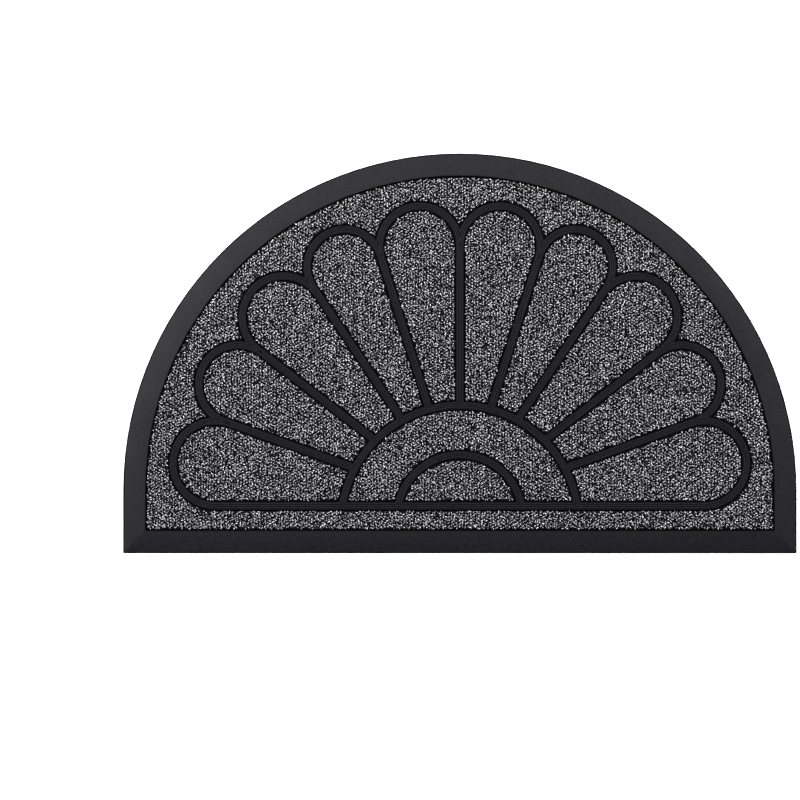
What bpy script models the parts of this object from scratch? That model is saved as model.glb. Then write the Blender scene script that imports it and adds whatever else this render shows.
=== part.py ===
"""Half-round doormat: one moulded rubber base with a fan of raised ribs, and a panel of pile in each pocket.

The base lies on z = 0. X runs along the straight edge, +Y points to the round edge, and the origin is
under the middle of the mat's bounding box. Sizes are in millimetres until a mesh is made.
"""

import math

import bmesh
import bpy

MM = 0.001

# The mat's outline: a half circle on short straight sides
WIDTH = 750.0
DEPTH = 445.5
OUTER_RADIUS = WIDTH / 2
SIDE_HEIGHT = DEPTH - OUTER_RADIUS
FRONT_Y = -DEPTH / 2
CORNER_RADIUS = 1.2
OUTLINE_STEPS = 60
CORNER_STEPS = 3

# The border rises from a rounded rim to a shelf beside the sunk field
BORDER_WIDTH = 25.4
BORDER_PROFILE = (
    {"height": 0.0, "inset": 0.0},
    {"height": 1.4, "inset": 0.5},
    {"height": 2.1, "inset": 1.0},
    {"height": 2.3, "inset": 1.6},
    {"height": 5.0, "inset": 24.4},
)

# The ribs and the pockets between them. A pocket's wall leans in towards its floor.
RIB_TOP = 5.0
RIB_TOP_WIDTH = 8.4
POCKET_FLOOR = 2.2
WALL_DRAFT = 0.6
WALL_LEAN = WALL_DRAFT / (RIB_TOP - POCKET_FLOOR)

# The pile panels stand in the pockets, clear of the walls, with rounded shoulders
PILE_TO_RIB_CENTRE = 5.9
PILE_TO_MAT_EDGE = 27.2
PILE_PROFILE = (
    {"height": 2.5, "inset": 0.0},
    {"height": 6.0, "inset": 0.0},
    {"height": 6.8, "inset": 0.4},
    {"height": 7.2, "inset": 1.2},
)

# The fan's centre, and its petals from the straight edge up to the middle. Both halves are alike.
FAN_Y = FRONT_Y + 53.0
PETALS = (
    # angle of the petal's upper rib in degrees, reach of its cap's centreline from the fan's centre
    {"rib_angle": 19.7, "reach": 323.0},
    {"rib_angle": 37.7, "reach": 325.0},
    {"rib_angle": 56.1, "reach": 333.0},
    {"rib_angle": 72.4, "reach": 336.7},
    {"rib_angle": 90.0, "reach": 336.7},
)
CAP_STEPS = 24
FOOT_STEPS = 4

# The two half-round ribs of the hub, on centres a little below the fan's
HUB_RING = {"radius": 132.3, "centre_y": FRONT_Y + 32.5}
HUB_ARC = {"radius": 69.9, "centre_y": FRONT_Y + 39.9}
HUB_STEPS = 36

# How far a guide solid, which cuts or joins, runs past the faces that it works on
OVERRUN = 1.0

# Looks: linear colours and roughnesses. Edges sharper than this angle stay sharp.
RUBBER_COLOUR = (0.020, 0.020, 0.024)
RUBBER_ROUGHNESS = 0.6
PILE_COLOUR = (0.085, 0.085, 0.092)
PILE_ROUGHNESS = 0.95
SHARP_ANGLE = math.radians(30)


def arc(centre, radius, start, end, steps):
    """Points on an arc, both ends included. Angles are in radians."""
    return [
        (
            centre[0] + radius * math.cos(start + (end - start) * i / steps),
            centre[1] + radius * math.sin(start + (end - start) * i / steps),
        )
        for i in range(steps + 1)
    ]


def mat_outline(inset):
    """The mat's outline moved inwards by inset, anticlockwise from the lower right corner."""
    side = OUTER_RADIUS - inset
    corner_x = side - CORNER_RADIUS
    corner_y = FRONT_Y + inset + CORNER_RADIUS
    right_corner = arc((corner_x, corner_y), CORNER_RADIUS, -math.pi / 2, 0.0, CORNER_STEPS)
    round_edge = arc((0.0, FRONT_Y + SIDE_HEIGHT), side, 0.0, math.pi, OUTLINE_STEPS)
    left_corner = arc((-corner_x, corner_y), CORNER_RADIUS, math.pi, 1.5 * math.pi, CORNER_STEPS)
    return right_corner + round_edge + left_corner


def rib_angles():
    """The angles of the fan's ribs in radians, from right to left, with the straight rib at both ends."""
    right = [math.radians(row["rib_angle"]) for row in PETALS]
    left = [math.pi - angle for angle in reversed(right[:-1])]
    return [0.0] + right + left + [math.pi]


def petal_caps():
    """The cap circle of each petal, from right to left. It touches the ribs on both sides of the petal."""
    angles = rib_angles()
    reaches = [row["reach"] for row in PETALS]
    caps = []
    for lower, upper, reach in zip(angles, angles[1:], reaches + reaches[::-1]):
        middle = (lower + upper) / 2
        narrowness = math.sin((upper - lower) / 2)
        distance = reach / (1 + narrowness)
        centre = (distance * math.cos(middle), FAN_Y + distance * math.sin(middle))
        caps.append({"lower": lower, "upper": upper, "centre": centre, "radius": distance * narrowness})
    return caps


def rib_edge_meets_ring(angle, side, inset):
    """Where the edge of a rib leaves the hub ring's outer edge, both moved inset from their centrelines.

    The edge runs from the fan's centre at the angle, to the left of the rib (side 1) or the right (side -1).
    """
    radius = HUB_RING["radius"] + inset
    ux, uy = math.cos(angle), math.sin(angle)
    x, y = -side * inset * uy, FAN_Y + side * inset * ux - HUB_RING["centre_y"]
    nearest = x * ux + y * uy
    reach = math.sqrt(nearest**2 - x * x - y * y + radius**2) - nearest
    return (x + reach * ux, HUB_RING["centre_y"] + y + reach * uy)


def direction(centre, point):
    """The angle of a point seen from a centre, from straight down anticlockwise round to straight down."""
    angle = math.atan2(point[1] - centre[1], point[0] - centre[0])
    return angle if angle > -math.pi / 2 else angle + 2 * math.pi


def petal_outline(cap, inset):
    """A petal's field: the hub ring, two ribs and the round cap, each moved inwards by inset."""
    ring_centre = (0.0, HUB_RING["centre_y"])
    left = direction(ring_centre, rib_edge_meets_ring(cap["upper"], -1, inset))
    right = direction(ring_centre, rib_edge_meets_ring(cap["lower"], 1, inset))
    foot = arc(ring_centre, HUB_RING["radius"] + inset, left, right, FOOT_STEPS)
    quarter = math.pi / 2
    return foot + arc(
        cap["centre"], cap["radius"] - inset, cap["lower"] - quarter, cap["upper"] + quarter, CAP_STEPS
    )


def half_round(rib, offset):
    """The edge of a half-round rib, offset from its centreline, from the straight rib's edge round to it."""
    radius = rib["radius"] + offset
    low = math.asin((FAN_Y + abs(offset) - rib["centre_y"]) / radius)
    return arc((0.0, rib["centre_y"]), radius, low, math.pi - low, HUB_STEPS)


def hub_band_outline(inset):
    """The band between the hub ring and the inner arc, closed by the straight rib."""
    return half_round(HUB_RING, -inset) + half_round(HUB_ARC, inset)[::-1]


def hub_outline(inset):
    """The half-round field inside the inner arc."""
    return half_round(HUB_ARC, -inset)


def caps_meet(right, left, growth):
    """The outer point where two neighbouring cap circles meet, both grown by the same amount."""
    (ax, ay), (bx, by) = right["centre"], left["centre"]
    right_radius, left_radius = right["radius"] + growth, left["radius"] + growth
    gap = math.hypot(bx - ax, by - ay)
    ux, uy = (bx - ax) / gap, (by - ay) / gap
    along = (right_radius**2 - left_radius**2 + gap**2) / (2 * gap)
    across = math.sqrt(right_radius**2 - along**2)
    return (ax + along * ux + across * uy, ay + along * uy - across * ux)


def flower_outline(growth):
    """The outside of the whole flower, grown from its centrelines: ten caps and the straight rib below."""
    caps = petal_caps()
    start = -math.pi / 2
    points = []
    for cap, after in zip(caps, caps[1:]):
        valley = caps_meet(cap, after, growth)
        end = direction(cap["centre"], valley)
        points += arc(cap["centre"], cap["radius"] + growth, start, end, CAP_STEPS)[:-1]
        start = direction(after["centre"], valley)
    last = caps[-1]
    return points + arc(last["centre"], last["radius"] + growth, start, 1.5 * math.pi, CAP_STEPS)


def loft(name, outline, levels):
    """A closed solid through the outline at each level, a (height, inset) pair, from bottom to top."""
    bm = bmesh.new()
    rings = []
    for height, inset in levels:
        rings.append([bm.verts.new((x * MM, y * MM, height * MM)) for x, y in outline(inset)])
    for lower, upper in zip(rings, rings[1:]):
        for i in range(len(lower)):
            bm.faces.new((lower[i - 1], lower[i], upper[i], upper[i - 1]))
    bm.faces.new(rings[0][::-1])
    bm.faces.new(rings[-1])
    mesh = bpy.data.meshes.new(name)
    bm.to_mesh(mesh)
    bm.free()
    piece = bpy.data.objects.new(name, mesh)
    bpy.context.scene.collection.objects.link(piece)
    return piece


def combine(piece, operation, guide):
    """Cuts a guide solid out of the piece, or joins it on, with an exact Boolean modifier."""
    guide.hide_render = True
    guide.display_type = "WIRE"
    modifier = piece.modifiers.new(guide.name, "BOOLEAN")
    modifier.operation = operation
    modifier.solver = "EXACT"
    modifier.object = guide


def finish(piece, colour, roughness):
    """Gives a piece its own plain material, and smooth round sides with sharp edges."""
    look = bpy.data.materials.new(piece.name)
    look.use_nodes = True
    shader = look.node_tree.nodes["Principled BSDF"]
    shader.inputs["Base Color"].default_value = (*colour, 1.0)
    shader.inputs["Roughness"].default_value = roughness
    shader.inputs["Metallic"].default_value = 0.0
    piece.data.materials.append(look)
    piece.data.shade_smooth()
    piece.data.set_sharp_from_angle(angle=SHARP_ANGLE)


def cut_pocket(base, name, outline, wall):
    """Sinks a pocket into the base. The wall is the inset of its upper edge."""
    levels = (
        (POCKET_FLOOR, wall + WALL_DRAFT),
        (RIB_TOP + OVERRUN, wall - WALL_LEAN * OVERRUN),
    )
    combine(base, "DIFFERENCE", loft("cut_" + name, outline, levels))


def raise_flower(base):
    """Joins the flower to the sunk field as one raised block, which the inner pockets then cut into ribs."""
    edge = RIB_TOP_WIDTH / 2
    levels = (
        (POCKET_FLOOR - OVERRUN, edge + WALL_DRAFT + WALL_LEAN * OVERRUN),
        (RIB_TOP, edge),
    )
    combine(base, "UNION", loft("raise_flower", flower_outline, levels))


def make_base(fields):
    """The rubber moulding: border, sunk field, raised flower and the pockets inside it."""
    levels = [(row["height"], row["inset"]) for row in BORDER_PROFILE]
    base = loft("rubber_base", mat_outline, levels)
    cut_pocket(base, "surround", mat_outline, BORDER_WIDTH)
    raise_flower(base)
    for name, outline in fields:
        cut_pocket(base, name, outline, RIB_TOP_WIDTH / 2)
    finish(base, RUBBER_COLOUR, RUBBER_ROUGHNESS)


def pile_levels(edge):
    """The levels of a panel of pile whose upright side stands at the given inset."""
    return [(row["height"], edge + row["inset"]) for row in PILE_PROFILE]


def make_panel(name, outline):
    """One panel of pile inside the flower."""
    panel = loft("pile_" + name, outline, pile_levels(PILE_TO_RIB_CENTRE))
    finish(panel, PILE_COLOUR, PILE_ROUGHNESS)


def make_surround():
    """The ring of pile between the border and the flower."""
    ring = loft("pile_surround", mat_outline, pile_levels(PILE_TO_MAT_EDGE))
    levels = pile_levels(PILE_TO_RIB_CENTRE)
    foot, edge = levels[0]
    top, shoulder = levels[-1]
    levels = [(foot - OVERRUN, edge)] + levels + [(top + OVERRUN, shoulder + OVERRUN)]
    combine(ring, "DIFFERENCE", loft("cut_flower", flower_outline, levels))
    finish(ring, PILE_COLOUR, PILE_ROUGHNESS)


def main():
    for piece in list(bpy.data.objects):
        bpy.data.objects.remove(piece)

    fields = []
    for number, cap in enumerate(petal_caps(), start=1):
        fields.append((f"petal_{number:02d}", lambda inset, cap=cap: petal_outline(cap, inset)))
    fields.append(("hub_band", hub_band_outline))
    fields.append(("hub", hub_outline))

    make_base(fields)
    for name, outline in fields:
        make_panel(name, outline)
    make_surround()


main()
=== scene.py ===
# %% [markdown]
# # A half-round doormat
#
# This lesson dresses a finished model of a doormat: a black rubber moulding with a fan of raised ribs, and
# short curled pile in the thirteen fields between the ribs. The model comes as plain solids, the frame, at
# real size and in metres. Here each surface gets the form and the finish that the eye sees.
#
# We start by loading the frame. The size of the bare model is kept, since several measures below are
# taken from it.

# %% Load the frame
import math

import bpy
import numpy as np
from mathutils import Matrix, Vector


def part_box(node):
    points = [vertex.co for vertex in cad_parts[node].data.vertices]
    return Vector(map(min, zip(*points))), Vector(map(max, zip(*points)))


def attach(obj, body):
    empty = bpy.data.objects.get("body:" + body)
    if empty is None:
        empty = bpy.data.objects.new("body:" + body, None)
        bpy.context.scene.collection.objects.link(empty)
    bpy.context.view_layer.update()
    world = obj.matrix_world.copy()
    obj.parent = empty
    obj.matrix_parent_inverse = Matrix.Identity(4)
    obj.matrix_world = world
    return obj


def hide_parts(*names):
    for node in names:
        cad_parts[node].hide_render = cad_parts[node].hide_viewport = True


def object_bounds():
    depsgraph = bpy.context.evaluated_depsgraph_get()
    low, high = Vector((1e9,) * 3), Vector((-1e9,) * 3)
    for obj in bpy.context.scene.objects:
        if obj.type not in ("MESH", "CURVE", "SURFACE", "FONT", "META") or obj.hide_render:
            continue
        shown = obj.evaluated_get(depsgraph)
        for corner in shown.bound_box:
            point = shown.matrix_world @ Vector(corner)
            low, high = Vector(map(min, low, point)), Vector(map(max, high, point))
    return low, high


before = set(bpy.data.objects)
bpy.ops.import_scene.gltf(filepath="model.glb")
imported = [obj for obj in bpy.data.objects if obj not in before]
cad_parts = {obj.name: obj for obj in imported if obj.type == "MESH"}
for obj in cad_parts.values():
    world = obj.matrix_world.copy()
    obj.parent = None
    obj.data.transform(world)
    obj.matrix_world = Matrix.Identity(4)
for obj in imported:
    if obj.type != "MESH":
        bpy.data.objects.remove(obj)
bare_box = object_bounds()
MM = 0.001
scene = bpy.context.scene
print("the bare mat measures", [round((high - low) / MM, 1) for low, high in zip(*bare_box)], "mm")

# %% [markdown]
# ## Camera
#
# The mat is seen from straight above. A camera with a long lens, far away, keeps the drawing free of
# perspective, and it still lets the view be turned round the mat later. We work out the lens from the width
# that the picture has to take in: 800 pixels at 1.1137 mm to the pixel.

# %% Camera
PICTURE_PIXELS = 800
MM_PER_PIXEL = 1.1137
# The pixels on which the mat's middle line and its straight edge lie
MIDDLE_PIXEL_X = 459.3
FRONT_PIXEL_Y = 552.8
CAMERA_HEIGHT = 3.0
SENSOR_MM = 36.0

front_y = bare_box[0][1]
# Pixels are counted from 0 and measured at their middles.
middle_pixel = (PICTURE_PIXELS - 1) / 2
view_x = (middle_pixel - MIDDLE_PIXEL_X) * MM_PER_PIXEL * MM
view_y = front_y + (FRONT_PIXEL_Y - middle_pixel) * MM_PER_PIXEL * MM
picture_width = PICTURE_PIXELS * MM_PER_PIXEL * MM

bpy.ops.object.camera_add(location=(view_x, view_y, CAMERA_HEIGHT), rotation=(0, 0, 0))
camera = bpy.context.object
camera.data.sensor_width = SENSOR_MM
camera.data.lens = SENSOR_MM * CAMERA_HEIGHT / picture_width
camera.data.clip_end = 100
scene.camera = camera
print("the lens is", round(camera.data.lens, 1), "mm for a picture", round(picture_width, 3), "m wide")

# %% [markdown]
# ## Floor and light
#
# The mat lies on a plain white floor in soft studio light. The sky of the scene is an even white, which
# fills the gaps. Three big soft lamps stand behind the straight edge, the strongest to the left, so that the
# round border, which slopes towards them, is a little lighter than the straight one, and lightest to the
# left. The Standard view keeps colours as they are mixed.

# %% Floor and light
FLOOR_SIZE = 30.0
SKY_STRENGTH = 0.3
LAMPS = (
    # place in metres, width in metres and power in watts
    {"name": "left", "place": (-1.6, 0.7, 1.9), "width": 1.2, "watts": 110.0},
    {"name": "right", "place": (1.6, 0.9, 1.9), "width": 1.2, "watts": 70.0},
    {"name": "back", "place": (-0.2, 1.9, 2.0), "width": 1.2, "watts": 50.0},
)

scene.view_settings.view_transform = "Standard"
scene.view_settings.look = "None"

bpy.ops.mesh.primitive_plane_add(size=FLOOR_SIZE, location=(0, 0, 0))
floor = bpy.context.object
floor.name = "floor"

world = bpy.data.worlds.new("even white sky")
world.use_nodes = True
world.node_tree.nodes["Background"].inputs["Color"].default_value = (1.0, 1.0, 1.0, 1.0)
world.node_tree.nodes["Background"].inputs["Strength"].default_value = SKY_STRENGTH
scene.world = world

for row in LAMPS:
    x, y, z = row["place"]
    bpy.ops.object.light_add(type="AREA", location=row["place"])
    lamp = bpy.context.object
    lamp.name = "lamp_" + row["name"]
    lamp.data.shape = "DISK"
    lamp.data.size = row["width"]
    lamp.data.energy = row["watts"]
    # The lamp is tipped towards the middle of the mat.
    lamp.rotation_euler = (0.0, math.atan2(math.hypot(x, y), z), math.atan2(y, x))
    print("the lamp at the", row["name"], "gives", row["watts"], "watts")

# %% [markdown]
# ## Helpers for materials
#
# Every finish below is mixed from nodes. Four small helpers are enough: one turns a colour picked on a
# screen, a hex value, into the linear light that Blender mixes, one adds a node with its settings and links,
# one starts a material, and one sets the stops of a colour ramp.


# %% Helpers for materials
def linear(hex_colour):
    """A screen colour such as '#8f8f92' as linear red, green, blue and alpha."""
    channels = [int(hex_colour[i : i + 2], 16) / 255 for i in (1, 3, 5)]
    return [c / 12.92 if c <= 0.04045 else ((c + 0.055) / 1.055) ** 2.4 for c in channels] + [1.0]


def add_node(tree, kind, links=None, settings=None, **values):
    """Adds a node. links feed its inputs, settings are its own properties and values its input values."""
    node = tree.nodes.new(kind)
    for name, value in (settings or {}).items():
        setattr(node, name, value)
    for name, value in values.items():
        node.inputs[name.replace("_", " ")].default_value = value
    for name, output in (links or {}).items():
        tree.links.new(output, node.inputs[name])
    return node


def new_material(name):
    """An empty node material with its Principled shader."""
    material = bpy.data.materials.new(name)
    material.use_nodes = True
    return material, material.node_tree, material.node_tree.nodes["Principled BSDF"]


def ramp_colours(ramp, stops):
    """Sets a colour ramp's stops, each a place from 0 to 1 and a hex colour."""
    elements = ramp.color_ramp.elements
    while len(elements) < len(stops):
        elements.new(0.5)
    for element, (place, colour) in zip(elements, stops):
        element.position = place
        element.color = linear(colour)


print("a mid grey of the screen is", round(linear("#808080")[0], 3), "in linear light")

# %% [markdown]
# ## The floor's paint
#
# A plain matt white, so bright in this light that it shows as the white of the paper.

# %% White floor
floor_paint, tree, shader = new_material("matt white studio floor")
shader.inputs["Base Color"].default_value = linear("#f6f6f6")
shader.inputs["Roughness"].default_value = 0.9
floor.data.materials.append(floor_paint)
print("the floor is", FLOOR_SIZE, "m wide")

# %% [markdown]
# ## Moulded rubber
#
# The base is filled black rubber, pressed in a hot mould. Its skin copies the mould's fine grain, which
# breaks up the shine into a soft, even, slightly blue black. How fine the real grain is can't be read from
# the picture. We take it to be a few tenths of a millimetre, which is finer than a pixel, so we draw it
# coarser, 1.2 mm wide, as a low bump and a slight change of tone. A wider cloudy noise, a few centimetres
# across, makes the roughness wander a little, as dust and release agent do on the real thing.
#
# We give the one moulding four finishes of the same rubber. The skin is what the mould leaves. Between the
# beads on the ribs it is a little duller, and darker with painted shade. The trimmed rim and the steep walls
# of the pockets are dull, and darker still with painted shade, which draws the thin dark lines round the mat
# and beside the ribs. The underside doesn't show in the picture, and we guess it to be greyer, from the talc
# that moulds are dusted with. All the blacks are deeper than bare rubber's, as they are in the picture.

# %% Moulded rubber
GRAIN_MM = 1.2
GRAIN_HEIGHT_MM = 0.08
CLOUD_MM = 30.0


def noise(tree, place, size_mm, detail=2.0):
    """A noise texture whose lumps are about size_mm across."""
    return add_node(
        tree,
        "ShaderNodeTexNoise",
        links={"Vector": place},
        Scale=1 / (size_mm * MM),
        Detail=detail,
    )


def rubber_finish(name, colours, roughness, specular):
    """A grained rubber, with its darkest and palest colour and its lowest and highest roughness."""
    material, tree, shader = new_material(name)
    place = add_node(tree, "ShaderNodeTexCoord").outputs["Object"]
    grain = noise(tree, place, GRAIN_MM).outputs["Fac"]
    cloud = noise(tree, place, CLOUD_MM).outputs["Fac"]
    gloss = add_node(
        tree, "ShaderNodeMapRange", links={"Value": cloud}, To_Min=roughness[0], To_Max=roughness[1]
    )
    tone = add_node(tree, "ShaderNodeValToRGB", links={"Fac": grain})
    ramp_colours(tone, [(0.35, colours[0]), (0.65, colours[1])])
    relief = add_node(
        tree, "ShaderNodeBump", links={"Height": grain}, Strength=0.5, Distance=GRAIN_HEIGHT_MM * MM
    )
    tree.links.new(tone.outputs["Color"], shader.inputs["Base Color"])
    tree.links.new(gloss.outputs["Result"], shader.inputs["Roughness"])
    tree.links.new(relief.outputs["Normal"], shader.inputs["Normal"])
    shader.inputs["IOR"].default_value = 1.52
    shader.inputs["Specular IOR Level"].default_value = specular
    return material


rubber = rubber_finish("moulded black rubber skin", ("#030304", "#15141a"), (0.5, 0.62), 0.1)
# The groove finish is darker than the skin: painted shade between the beads on the ribs.
groove_shade_rubber = rubber_finish("moulded black rubber with painted groove shade", ("#030304", "#0a0a0d"), (0.6, 0.72), 0.06)
# The darkest finish is painted shade, for the rim and the steep walls of the pockets.
painted_shade_rubber = rubber_finish("black rubber with painted shade", ("#010101", "#050505"), (0.8, 0.9), 0.03)
talc_rubber = rubber_finish("talc dusted black rubber", ("#28282a", "#3a3a3c"), (0.7, 0.8), 0.2)
print("the rubber's grain is drawn", GRAIN_MM, "mm wide")

# %% [markdown]
# ## The base
#
# The frame's base already has the right form, with its sloping border, ribs and pockets, but its edges are
# knife sharp and a mould's never are. We copy it, merge the loose triangles into one skin, dissolve the
# flat ones into whole faces, and round every edge with a bevel. Then each face gets the finish of its place,
# which its height and its slope tell.


# %% The base
def only(piece):
    """Makes one object the selected and active one."""
    bpy.ops.object.select_all(action="DESELECT")
    piece.select_set(True)
    bpy.context.view_layer.objects.active = piece


MERGE_BELOW = 0.001 * MM
FLAT_WITHIN = math.radians(0.5)


def copy_of_node(node, name):
    """A copy of a frame node with its triangles merged into one skin."""
    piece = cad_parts[node].copy()
    piece.data = piece.data.copy()
    piece.name = piece.data.name = name
    piece.parent = None
    piece.matrix_world.identity()
    scene.collection.objects.link(piece)
    only(piece)
    bpy.ops.object.mode_set(mode="EDIT")
    bpy.ops.mesh.select_all(action="SELECT")
    bpy.ops.mesh.remove_doubles(threshold=MERGE_BELOW)
    bpy.ops.mesh.dissolve_limited(angle_limit=FLAT_WITHIN)
    bpy.ops.object.mode_set(mode="OBJECT")
    return piece


def finish_piece(piece, look):
    """Gives a piece its material and slot, and lets it ride on the mat."""
    piece.data.materials.clear()
    piece.data.materials.append(look)
    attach(piece, "root")


def triangles(piece):
    """How many triangles a piece has."""
    return sum(len(polygon.vertices) - 2 for polygon in piece.data.polygons)


EDGE_ROUND = 0.35 * MM
ROUNDED_FROM = math.radians(35)
SMOOTH_BELOW = math.radians(10)
RIM_TOP_MM = 2.35
RIB_TOP_MM = 5.0
# The upward part of a face's normal, above which it is level and below which it is steep
LEVEL = 0.99
STEEP = 0.5
# The places of the finishes among the material slots of the base
SKIN, GROOVE_SHADE, PAINTED_SHADE, TALC = range(4)

base = copy_of_node("rubber_base", "rubber_moulding")
rounding = base.modifiers.new("rounding", "BEVEL")
rounding.width = EDGE_ROUND
rounding.segments = 2
rounding.limit_method = "ANGLE"
rounding.angle_limit = ROUNDED_FROM
bpy.ops.object.modifier_apply(modifier=rounding.name)
bpy.ops.object.shade_smooth_by_angle(angle=SMOOTH_BELOW)
finish_piece(base, rubber)
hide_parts("rubber_base")
for other in (groove_shade_rubber, painted_shade_rubber, talc_rubber):
    base.data.materials.append(other)
for face in base.data.polygons:
    heights = [base.data.vertices[index].co.z / MM for index in face.vertices]
    if face.normal.z < -LEVEL:
        face.material_index = TALC
    # The rim and the steep pocket walls get the darkest finish, painted shade.
    elif max(heights) < RIM_TOP_MM or abs(face.normal.z) < STEEP:
        face.material_index = PAINTED_SHADE
    # The level rib tops between the beads get painted shade.
    elif round(min(heights), 1) == RIB_TOP_MM and face.normal.z > LEVEL:
        face.material_index = GROOVE_SHADE
    else:
        face.material_index = SKIN
print("the base has", triangles(base), "triangles")

# %% [markdown]
# ## The lines of the fan
#
# Three fine beads run along the top of every rib, pressed into the mould with a ball tool. To lay them we
# need the lines of the fan once more: ten petals with round caps that touch the ribs on both sides, a hub
# ring, an inner arc and the straight rib. Each line is a list of points in millimetres, worked out from
# a few angles and radii, and it can be moved sideways from the rib's middle.

# %% The lines of the fan
FRONT = front_y / MM
FAN_Y = FRONT + 53.0
PETALS = (
    # angle of the petal's upper rib in degrees, reach of its cap's middle line from the fan's centre
    {"rib_angle": 19.7, "reach": 323.0},
    {"rib_angle": 37.7, "reach": 325.0},
    {"rib_angle": 56.1, "reach": 333.0},
    {"rib_angle": 72.4, "reach": 336.7},
    {"rib_angle": 90.0, "reach": 336.7},
)
HUB_RING = {"radius": 132.3, "centre_y": FRONT + 32.5}
HUB_ARC = {"radius": 69.9, "centre_y": FRONT + 39.9}
ARC_STEP_MM = 2.5
QUARTER = math.pi / 2


def arc(centre, radius, start, end):
    """Points on an arc about ARC_STEP_MM apart, both ends included."""
    steps = max(2, round(abs(end - start) * radius / ARC_STEP_MM))
    turns = [start + (end - start) * i / steps for i in range(steps + 1)]
    return [(centre[0] + radius * math.cos(t), centre[1] + radius * math.sin(t)) for t in turns]


def direction(centre, point):
    """The angle of a point seen from a centre, from straight down anticlockwise round to straight down."""
    angle = math.atan2(point[1] - centre[1], point[0] - centre[0])
    return angle if angle > -QUARTER else angle + 2 * math.pi


def petal_caps():
    """The cap circle of each petal, from right to left."""
    right = [math.radians(row["rib_angle"]) for row in PETALS]
    angles = [0.0] + right + [math.pi - angle for angle in reversed(right[:-1])] + [math.pi]
    reaches = [row["reach"] for row in PETALS]
    caps = []
    for lower, upper, reach in zip(angles, angles[1:], reaches + reaches[::-1]):
        middle = (lower + upper) / 2
        narrowness = math.sin((upper - lower) / 2)
        distance = reach / (1 + narrowness)
        centre = (distance * math.cos(middle), FAN_Y + distance * math.sin(middle))
        caps.append({"lower": lower, "upper": upper, "centre": centre, "radius": distance * narrowness})
    return caps


def meets_ring(angle, side, inset):
    """Where a rib's line, moved sideways by inset, meets the hub ring, moved outwards by inset."""
    radius = HUB_RING["radius"] + inset
    ux, uy = math.cos(angle), math.sin(angle)
    x, y = -side * inset * uy, FAN_Y + side * inset * ux - HUB_RING["centre_y"]
    nearest = x * ux + y * uy
    reach = math.sqrt(nearest**2 - x * x - y * y + radius**2) - nearest
    return (x + reach * ux, HUB_RING["centre_y"] + y + reach * uy)


def petal_line(cap, inset):
    """The closed line inside a petal: along the ring, up one rib, round the cap and back."""
    ring_centre = (0.0, HUB_RING["centre_y"])
    left = direction(ring_centre, meets_ring(cap["upper"], -1, inset))
    right = direction(ring_centre, meets_ring(cap["lower"], 1, inset))
    foot = arc(ring_centre, HUB_RING["radius"] + inset, left, right)
    head = arc(cap["centre"], cap["radius"] - inset, cap["lower"] - QUARTER, cap["upper"] + QUARTER)
    return foot + head


def half_round(rib, offset, rise):
    """A half-round rib's line, moved by offset. Its ends lie on the straight rib's line, raised by rise."""
    radius = rib["radius"] + offset
    low = math.asin((FAN_Y + rise - rib["centre_y"]) / radius)
    return arc((0.0, rib["centre_y"]), radius, low, math.pi - low)


def flower_line(growth):
    """The closed line round the whole flower, grown outwards from the ribs' middle lines."""
    caps = petal_caps()
    start = -QUARTER
    points = []
    for cap, after in zip(caps, caps[1:]):
        (ax, ay), (bx, by) = cap["centre"], after["centre"]
        a, b = cap["radius"] + growth, after["radius"] + growth
        gap = math.hypot(bx - ax, by - ay)
        ux, uy = (bx - ax) / gap, (by - ay) / gap
        along = (a * a - b * b + gap * gap) / (2 * gap)
        across = math.sqrt(a * a - along * along)
        valley = (ax + along * ux + across * uy, ay + along * uy - across * ux)
        points += arc(cap["centre"], a, start, direction(cap["centre"], valley))[:-1]
        start = direction(after["centre"], valley)
    return points + arc(caps[-1]["centre"], caps[-1]["radius"] + growth, start, 3 * QUARTER)


def middle_lines():
    """The open lines down the middle of every rib."""
    lines = [half_round(HUB_RING, 0.0, 0.0), half_round(HUB_ARC, 0.0, 0.0)]
    caps = petal_caps()
    lines.append([(x * caps[0]["centre"][0], FAN_Y) for x in (-1, 1)])
    for cap in caps:
        lines.append(arc(cap["centre"], cap["radius"], cap["lower"] - QUARTER, cap["upper"] + QUARTER))
    for cap in caps[:-1]:
        angle = cap["upper"]
        length = math.sqrt((cap["centre"][0]) ** 2 + (cap["centre"][1] - FAN_Y) ** 2 - cap["radius"] ** 2)
        end = (length * math.cos(angle), FAN_Y + length * math.sin(angle))
        lines.append([meets_ring(angle, 1, 0.0), end])
    return lines


print("the widest cap has a radius of", round(max(cap["radius"] for cap in petal_caps()), 1), "mm")

# %% [markdown]
# ## The beads on the ribs
#
# A bead is a long thin bump. We could extrude a profile in edit mode, but a curve with a round bevel follows
# the lines by itself. The curve's lower half is sunk in the rib, and the whole is turned into one mesh.

# %% The beads on the ribs
BEAD_PITCH_MM = 2.3
BEAD_RADIUS_MM = 0.85
BEAD_SUNK_MM = 0.1


def lay_lines(name, lines, radius_mm, height_mm):
    """One mesh of round beads along the lines, each given as (points, closed)."""
    curve = bpy.data.curves.new(name, "CURVE")
    curve.dimensions = "3D"
    curve.bevel_depth = radius_mm * MM
    curve.bevel_resolution = 1
    curve.use_fill_caps = True
    for points, closed in lines:
        spline = curve.splines.new("POLY")
        spline.points.add(len(points) - 1)
        for point, (x, y) in zip(spline.points, points):
            point.co = (x * MM, y * MM, height_mm * MM, 1.0)
        spline.use_cyclic_u = closed
    piece = bpy.data.objects.new(name, curve)
    scene.collection.objects.link(piece)
    only(piece)
    bpy.ops.object.convert(target="MESH")
    return bpy.context.object


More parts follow.
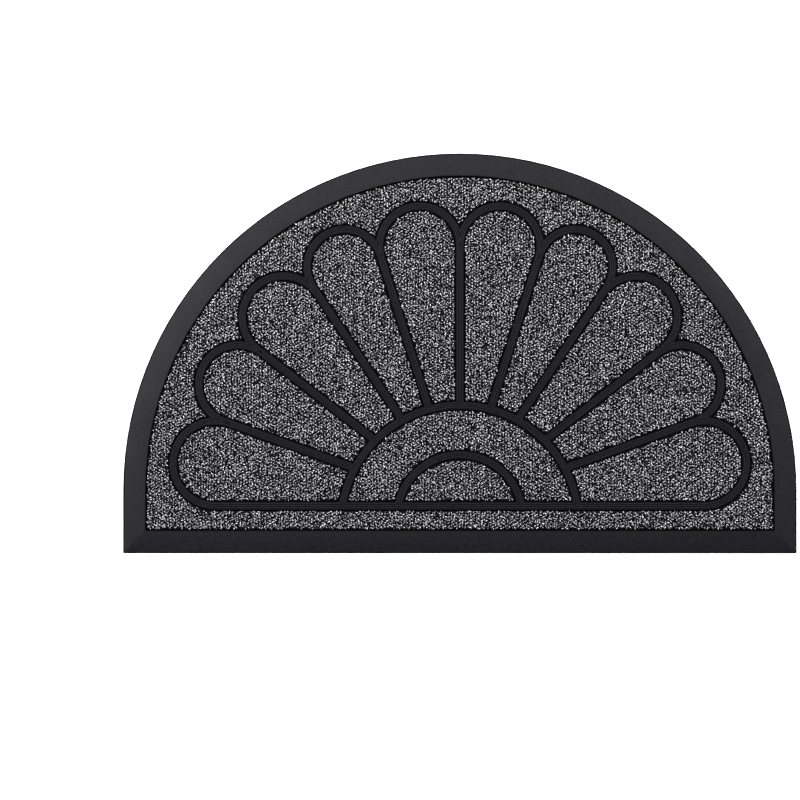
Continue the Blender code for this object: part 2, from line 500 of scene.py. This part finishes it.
bead_lines = [(line, False) for line in middle_lines()]
bead_lines.append((flower_line(BEAD_PITCH_MM), True))
bead_lines += [(petal_line(cap, BEAD_PITCH_MM), True) for cap in petal_caps()]
outer = half_round(HUB_RING, -BEAD_PITCH_MM, BEAD_PITCH_MM)
inner = half_round(HUB_ARC, BEAD_PITCH_MM, BEAD_PITCH_MM)
bead_lines.append((outer + inner[::-1], True))
bead_lines.append((half_round(HUB_ARC, -BEAD_PITCH_MM, BEAD_PITCH_MM), True))

beads = lay_lines("rib_beads", bead_lines, BEAD_RADIUS_MM, RIB_TOP_MM - BEAD_SUNK_MM)
bpy.ops.object.shade_smooth()
finish_piece(beads, rubber)
print("the beads have", triangles(beads), "triangles in", len(bead_lines), "lines")

# %% [markdown]
# ## Felt under the pile
#
# Between the curls of the pile one looks down on the dark felt that they are punched into. For each field
# we copy the frame's panel and press it flat, so that it fills the pocket and leaves the room above
# it to the curls. Its finish is a near black felt with a soft fibrous bump.

# %% Felt under the pile
# The felt's height as a share of the panel's
FELT_HEIGHT = 0.25
FIBRE_MM = 1.2
FIBRE_HEIGHT_MM = 0.5
felt_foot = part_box("pile_hub")[0][2]

felt, tree, shader = new_material("needled black felt")
place = add_node(tree, "ShaderNodeTexCoord").outputs["Object"]
fibres = noise(tree, place, FIBRE_MM, detail=4.0).outputs["Fac"]
tone = add_node(tree, "ShaderNodeValToRGB", links={"Fac": fibres})
ramp_colours(tone, [(0.35, "#040404"), (0.7, "#0d0d0e")])
relief = add_node(
    tree, "ShaderNodeBump", links={"Height": fibres}, Strength=0.8, Distance=FIBRE_HEIGHT_MM * MM
)
tree.links.new(tone.outputs["Color"], shader.inputs["Base Color"])
tree.links.new(relief.outputs["Normal"], shader.inputs["Normal"])
shader.inputs["Roughness"].default_value = 0.95
shader.inputs["Specular IOR Level"].default_value = 0.05


def press_felt(node):
    """The felt of one field: the frame's panel, pressed down towards its foot."""
    piece = copy_of_node(node, node.replace("pile", "felt"))
    bpy.ops.object.mode_set(mode="EDIT")
    bpy.ops.mesh.select_all(action="SELECT")
    bpy.ops.transform.resize(value=(1, 1, FELT_HEIGHT), center_override=(0, 0, felt_foot))
    bpy.ops.object.mode_set(mode="OBJECT")
    bpy.ops.object.shade_smooth_by_angle(angle=math.radians(40))
    finish_piece(piece, felt)
    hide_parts(node)
    return piece


fields = sorted(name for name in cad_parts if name.startswith("pile_"))
felts = {node: press_felt(node) for node in fields}
print("there are", len(felts), "fields of felt")

# %% [markdown]
# ## One curl of yarn
#
# The pile is thousands of short tufts of thick crimped yarn. Each stands up out of the felt and its end
# curls over, so from above one sees a short bent dash. We model a few one by one: a triangle is extruded
# three times, and after each step it is tilted, turned and made thicker or thinner. A row in the table lists
# the steps. Three sides and three steps make 20 triangles, which is as much as a curl this small needs.

# %% One curl of yarn
CURLS = (
    # radius of the foot in mm, then for each step: length in mm, tilt and turn in degrees, change of width
    {
        "name": "tuft",
        "foot": 0.36,
        "steps": ((1.8, 14, 0, 1.2), (1.0, 34, 20, 1.0), (0.9, 35, 20, 0.75)),
    },
    {
        "name": "comma",
        "foot": 0.32,
        "steps": ((1.9, 42, 10, 1.3), (1.0, 45, 35, 1.0), (1.0, 20, 30, 0.75)),
    },
    {
        "name": "hook_left",
        "foot": 0.32,
        "steps": ((1.9, 50, 10, 1.3), (1.1, 42, 30, 1.0), (1.2, 12, 25, 0.75)),
    },
    {
        "name": "hook_right",
        "foot": 0.32,
        "steps": ((1.9, 50, -10, 1.3), (1.2, 42, -30, 1.0), (1.2, 12, -25, 0.75)),
    },
    {
        "name": "arch",
        "foot": 0.34,
        "steps": ((1.8, 58, 0, 1.25), (1.2, 48, 10, 1.0), (1.2, 35, 5, 0.75)),
    },
)


def model_curl(row):
    """One curl, extruded step by step from its foot, which lies at the height 0."""
    bpy.ops.object.select_all(action="DESELECT")
    bpy.ops.mesh.primitive_circle_add(vertices=3, radius=row["foot"] * MM, fill_type="NGON")
    curl = bpy.context.object
    curl.name = curl.data.name = "curl_" + row["name"]
    bpy.ops.object.mode_set(mode="EDIT")
    bpy.ops.mesh.select_all(action="SELECT")
    centre = Vector((0, 0, 0))
    heading = Vector((0, 0, 1))
    for length, tilt, turn, width in row["steps"]:
        step = heading * length * MM
        centre = centre + step
        bpy.ops.mesh.extrude_region_move(TRANSFORM_OT_translate={"value": step})
        for angle, axis in ((tilt, "Y"), (turn, "Z")):
            # Without a window this operator turns the other way, so it gets the angle with a minus.
            bpy.ops.transform.rotate(value=-math.radians(angle), orient_axis=axis, center_override=centre)
            heading = Matrix.Rotation(math.radians(angle), 3, axis) @ heading
        bpy.ops.transform.resize(value=(width, width, width), center_override=centre)
    bpy.ops.mesh.select_all(action="SELECT")
    bpy.ops.mesh.normals_make_consistent(inside=False)
    bpy.ops.object.mode_set(mode="OBJECT")
    return curl


curls = [model_curl(row) for row in CURLS]
shapes = np.array([[vertex.co for vertex in curl.data.vertices] for curl in curls])
# Each curl is centred over its middle, and its height is set to 1, so that it can be stretched.
shapes[:, :, :2] -= shapes[:, 3:, :2].mean(axis=1, keepdims=True)
shapes[:, :, 2] /= shapes[:, :, 2].max(axis=1, keepdims=True)
curl_faces = [list(polygon.vertices) for polygon in curls[0].data.polygons]
for curl in curls:
    bpy.data.objects.remove(curl)
reach = np.hypot(shapes[:, :, 0], shapes[:, :, 1]).max(axis=1) / MM
print("the curls reach", [round(float(r), 1) for r in reach], "mm from their middles")

# %% [markdown]
# ## Heather yarn
#
# The yarn is polypropylene, dyed in the mass before it is spun. Black and pale grey strands are mixed, which
# gives the grey heather of the mat. Each curl has one shade, a number from 0 to 1, and the colour ramp is
# the recipe: how much of the pile is black, how much is grey and how much is pale. A second number
# says how far a point is from the foot, and the colour darkens towards the foot: painted shade deep in the
# pile.

# %% Heather yarn
yarn, tree, shader = new_material("heather polypropylene yarn")
shade = add_node(tree, "ShaderNodeAttribute", settings={"attribute_name": "shade"})
rise = add_node(tree, "ShaderNodeAttribute", settings={"attribute_name": "rise"})
recipe = add_node(tree, "ShaderNodeValToRGB", links={"Fac": shade.outputs["Fac"]})
ramp_colours(
    recipe,
    [
        (0.0, "#030303"),
        (0.25, "#0f0f10"),
        (0.40, "#606065"),
        (0.60, "#a3a3a9"),
        (0.80, "#e2e2e6"),
        (1.0, "#ffffff"),
    ],
)
# The darkening towards the felt is painted shade deep in the pile.
painted_depth_shade = add_node(
    tree, "ShaderNodeMapRange", links={"Value": rise.outputs["Fac"]}, From_Min=0.2, From_Max=0.9
)
tone = add_node(
    tree,
    "ShaderNodeHueSaturation",
    links={"Value": painted_depth_shade.outputs["Result"], "Color": recipe.outputs["Color"]},
)
tree.links.new(tone.outputs["Color"], shader.inputs["Base Color"])
shader.inputs["Roughness"].default_value = 0.75
shader.inputs["IOR"].default_value = 1.49
shader.inputs["Specular IOR Level"].default_value = 0.15
print("the recipe of the yarn has", len(recipe.color_ramp.elements), "tones")

# %% [markdown]
# ## Fields of pile
#
# To plant the curls, we need the edge of each field. It is the line of the ribs round it, moved in to where
# the pile starts, and a little further, because a curl is placed by its middle. A point lies in a field if
# a line from it to the right crosses the edge an odd number of times.

# %% Fields of pile
PILE_TO_RIB_MM = 5.9
PILE_TO_MAT_EDGE_MM = 27.2
EDGE_ROOM_MM = 0.3
OUTER_RADIUS_MM = bare_box[1][0] / MM
ROUND_CENTRE_Y = bare_box[1][1] / MM - OUTER_RADIUS_MM


def mat_line(inset):
    """The closed outline of the mat, moved in by inset."""
    radius = OUTER_RADIUS_MM - inset
    corners = [(-radius, FRONT + inset), (radius, FRONT + inset)]
    return arc((0.0, ROUND_CENTRE_Y), radius, 0.0, math.pi) + corners


def field_edges():
    """The edges of every field of pile, by the name of its node."""
    inset = PILE_TO_RIB_MM + EDGE_ROOM_MM
    edges = {
        f"pile_petal_{number:02d}": [petal_line(cap, inset)]
        for number, cap in enumerate(petal_caps(), start=1)
    }
    band = half_round(HUB_RING, -inset, inset) + half_round(HUB_ARC, inset, inset)[::-1]
    edges["pile_hub_band"] = [band]
    edges["pile_hub"] = [half_round(HUB_ARC, -inset, inset)]
    edges["pile_surround"] = [mat_line(PILE_TO_MAT_EDGE_MM + EDGE_ROOM_MM), flower_line(inset)]
    return edges


def inside(points, loops):
    """Which of the points lie inside the closed loops."""
    crossings = np.zeros(len(points), int)
    for loop in loops:
        for (ax, ay), (bx, by) in zip(loop, loop[1:] + loop[:1]):
            spans = (points[:, 1] < ay) != (points[:, 1] < by)
            if ay != by:
                crossing_x = ax + (points[:, 1] - ay) * (bx - ax) / (by - ay)
                crossings += spans & (points[:, 0] < crossing_x)
    return crossings % 2 == 1


edges = field_edges()
assert sorted(edges) == fields
print("the flower's edge has", len(edges["pile_surround"][1]), "points")

# %% [markdown]
# ## Planting the curls
#
# The needles of the tufting machine punch the felt in rows, and the crimp of the yarn hides them. We lay a
# grid of triangles, shift every point a little at random, keep the points inside the field and set a curl
# on each, with its own shape, turn, size, height and shade. The curls of a field become one mesh.
#
# Well mixed yarn shows no patches. So the shades are dealt out in thirds, dark, middle and pale, in such a
# way that neighbours differ, and a few strays break the order.
#
# The mesh also gets a small map of its own, OFBake: its columns are the shades and its height is the way
# along the yarn, so that a baked picture of the material holds every colour of the pile.

# %% Planting the curls
CURL_PITCH_MM = 2.06
# How far a curl may stand from its point of the grid, as a share of the pitch
JITTER = 0.4
# The share of the curls that take a shade out of any third
STRAYS = 0.15
SHADES = 24
# The least and the greatest size of a curl, and its height as a share of the pile's
CURL_SIZES = (0.85, 1.15)
CURL_HEIGHTS = (0.6, 1.0)
PILE_TOP = bare_box[1][2]
FELT_TOP = max(corner[2] for corner in felts["pile_hub"].bound_box)
CURL_SUNK = 0.25 * MM
random = np.random.default_rng(1912)


def plant_points(loops):
    """A jittered grid of points inside the loops, in millimetres, and the third of the shades of each."""
    everything = np.array([point for loop in loops for point in loop])
    low, high = everything.min(axis=0), everything.max(axis=0)
    row_step = CURL_PITCH_MM * math.sqrt(3) / 2
    y, x = np.mgrid[low[1] : high[1] : row_step, low[0] : high[0] : CURL_PITCH_MM]
    row, column = np.indices(x.shape)
    x = x + row % 2 * CURL_PITCH_MM / 2
    # Numbered this way, no point of the grid has a neighbour of its own third.
    third = (column - row // 2 - row) % 3
    points = np.stack([x.ravel(), y.ravel()], axis=1)
    points += random.uniform(-JITTER, JITTER, points.shape) * CURL_PITCH_MM
    strays = random.random(third.shape) < STRAYS
    third[strays] = random.integers(0, 3, strays.sum())
    within = inside(points, loops)
    return points[within], third.ravel()[within]


# On the map: how far a curl reaches to each side of its column's middle, where the foot of the pile lies,
# how much of the map's height the pile takes, and how far one side of each ring is lifted
MAP_SIDE = 0.3
MAP_FOOT = 0.02
MAP_SPAN = 0.92
MAP_LIFT = 0.03


def curl_map(columns, rise):
    """The OFBake map of every face corner: the shade's column across, the height in the pile up."""
    across = []
    for face in curl_faces:
        sides = [vertex % 3 for vertex in face]
        if len(face) == 4:
            across += [MAP_SIDE if side == max(sides) else -MAP_SIDE for side in sides]
        else:
            across += [MAP_SIDE * (side - 1) for side in sides]
    corners = [vertex for face in curl_faces for vertex in face]
    # A level face would be a bare line on the map, so one side of each ring is drawn a little higher.
    lifted = MAP_LIFT * (np.array(corners) % 3 == 1)
    u = (columns[:, None] + 0.5 + np.array(across)) / SHADES
    v = MAP_FOOT + MAP_SPAN * rise[:, corners].clip(0, 1) + lifted
    return np.stack([u, v], axis=2)


def plant(name, points, third):
    """One mesh of curls, one on each point, in a shade out of its third."""
    count = len(points)
    turn = random.uniform(0, 2 * math.pi, count)
    size = random.uniform(*CURL_SIZES, count)
    height = random.uniform(*CURL_HEIGHTS, count) * (PILE_TOP - FELT_TOP)
    columns = (third * SHADES + random.integers(0, SHADES, count)) // 3
    curl = shapes[random.integers(0, len(shapes), count)]
    cos, sin = (np.cos(turn) * size)[:, None], (np.sin(turn) * size)[:, None]
    x = curl[:, :, 0] * cos - curl[:, :, 1] * sin + points[:, :1] * MM
    y = curl[:, :, 0] * sin + curl[:, :, 1] * cos + points[:, 1:] * MM
    z = FELT_TOP - CURL_SUNK + curl[:, :, 2] * (height + CURL_SUNK)[:, None]
    corners = np.stack([x, y, z], axis=2)
    rise = (z - FELT_TOP) / (PILE_TOP - FELT_TOP)

    per_curl = shapes.shape[1]
    lengths = np.array([len(face) for face in curl_faces])
    loop_vertices = np.concatenate([np.array(face) for face in curl_faces])
    mesh = bpy.data.meshes.new(name)
    mesh.vertices.add(count * per_curl)
    mesh.vertices.foreach_set("co", corners.ravel())
    mesh.loops.add(count * len(loop_vertices))
    mesh.loops.foreach_set(
        "vertex_index", (loop_vertices + per_curl * np.arange(count)[:, None]).ravel().astype(np.int32)
    )
    mesh.polygons.add(count * len(lengths))
    starts = np.concatenate([[0], np.cumsum(np.tile(lengths, count))[:-1]])
    mesh.polygons.foreach_set("loop_start", starts.astype(np.int32))
    mesh.polygons.foreach_set("use_smooth", np.ones(count * len(lengths), bool))
    layer = mesh.uv_layers.new(name="OFBake")
    layer.uv.foreach_set("vector", curl_map(columns, rise).ravel().astype(np.float32))
    shade_layer = mesh.attributes.new("shade", "FLOAT", "POINT")
    shade_layer.data.foreach_set("value", np.repeat((columns + 0.5) / SHADES, per_curl).astype(np.float32))
    rise_layer = mesh.attributes.new("rise", "FLOAT", "POINT")
    rise_layer.data.foreach_set("value", rise.ravel().astype(np.float32))
    mesh.update()
    mesh.validate()
    piece = bpy.data.objects.new(name, mesh)
    scene.collection.objects.link(piece)
    finish_piece(piece, yarn)
    return piece


planted = {}
for node in fields:
    points, third = plant_points(edges[node])
    if node == "pile_surround":
        # The field round the flower is planted as two pieces, so that neither mesh is too heavy.
        left = points[:, 0] < 0
        planted[node] = [
            plant("curls_surround_left", points[left], third[left]),
            plant("curls_surround_right", points[~left], third[~left]),
        ]
    else:
        planted[node] = [plant(node.replace("pile", "curls"), points, third)]
counts = [triangles(piece) for pieces in planted.values() for piece in pieces]
print("the curls have", sum(counts), "triangles, at most", max(counts), "in a piece")
